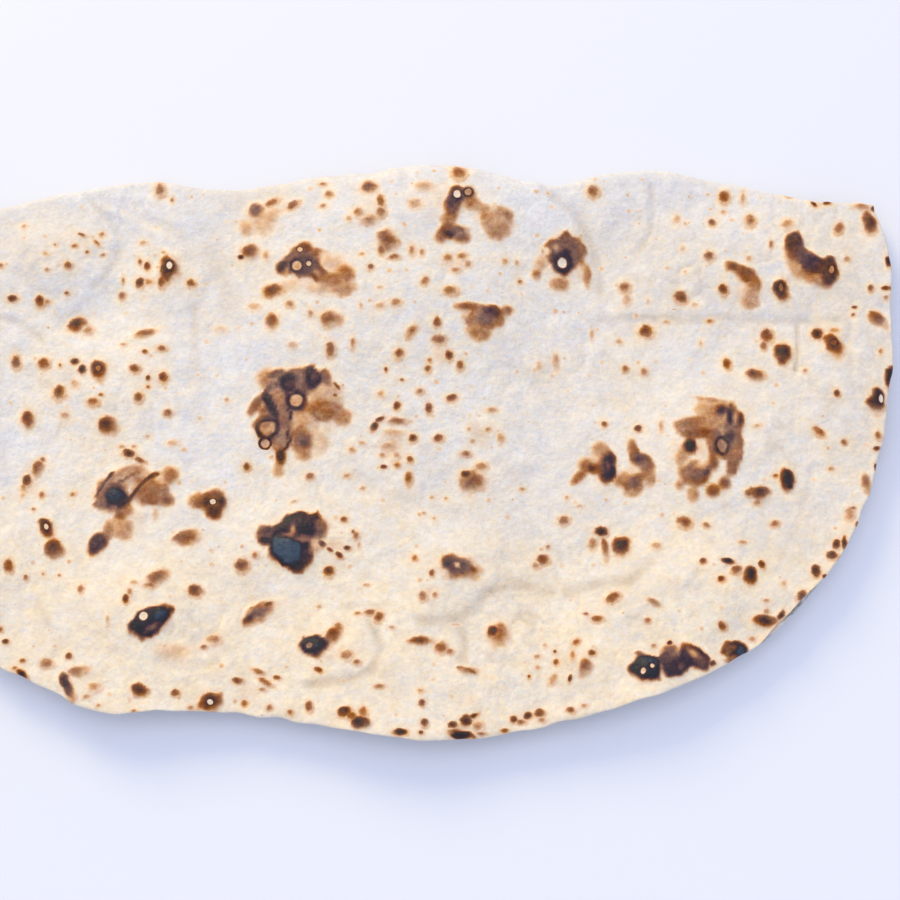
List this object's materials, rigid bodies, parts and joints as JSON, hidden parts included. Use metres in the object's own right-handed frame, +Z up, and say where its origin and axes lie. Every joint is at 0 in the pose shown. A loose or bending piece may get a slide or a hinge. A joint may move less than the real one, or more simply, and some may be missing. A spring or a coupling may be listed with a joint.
{
  "type": "folded lavash flatbread",
  "caption": "Large thin soft flatbread folded in half to a half-moon, with a puffed fold, an uneven open rim and browned blisters.",
  "frame": {"origin": "middle of the bread's outline seen from above, on the table", "axes": "+X along the fold, +Y from the open rim towards the fold, +Z up"},
  "size_m": [0.495, 0.2964, 0.0241],
  "materials": {
    "baked_dough": "matt cream dough with golden to charred blisters"
  },
  "bodies": {
    "root": {"lavash": "baked_dough"}
  },
  "joints": []
}
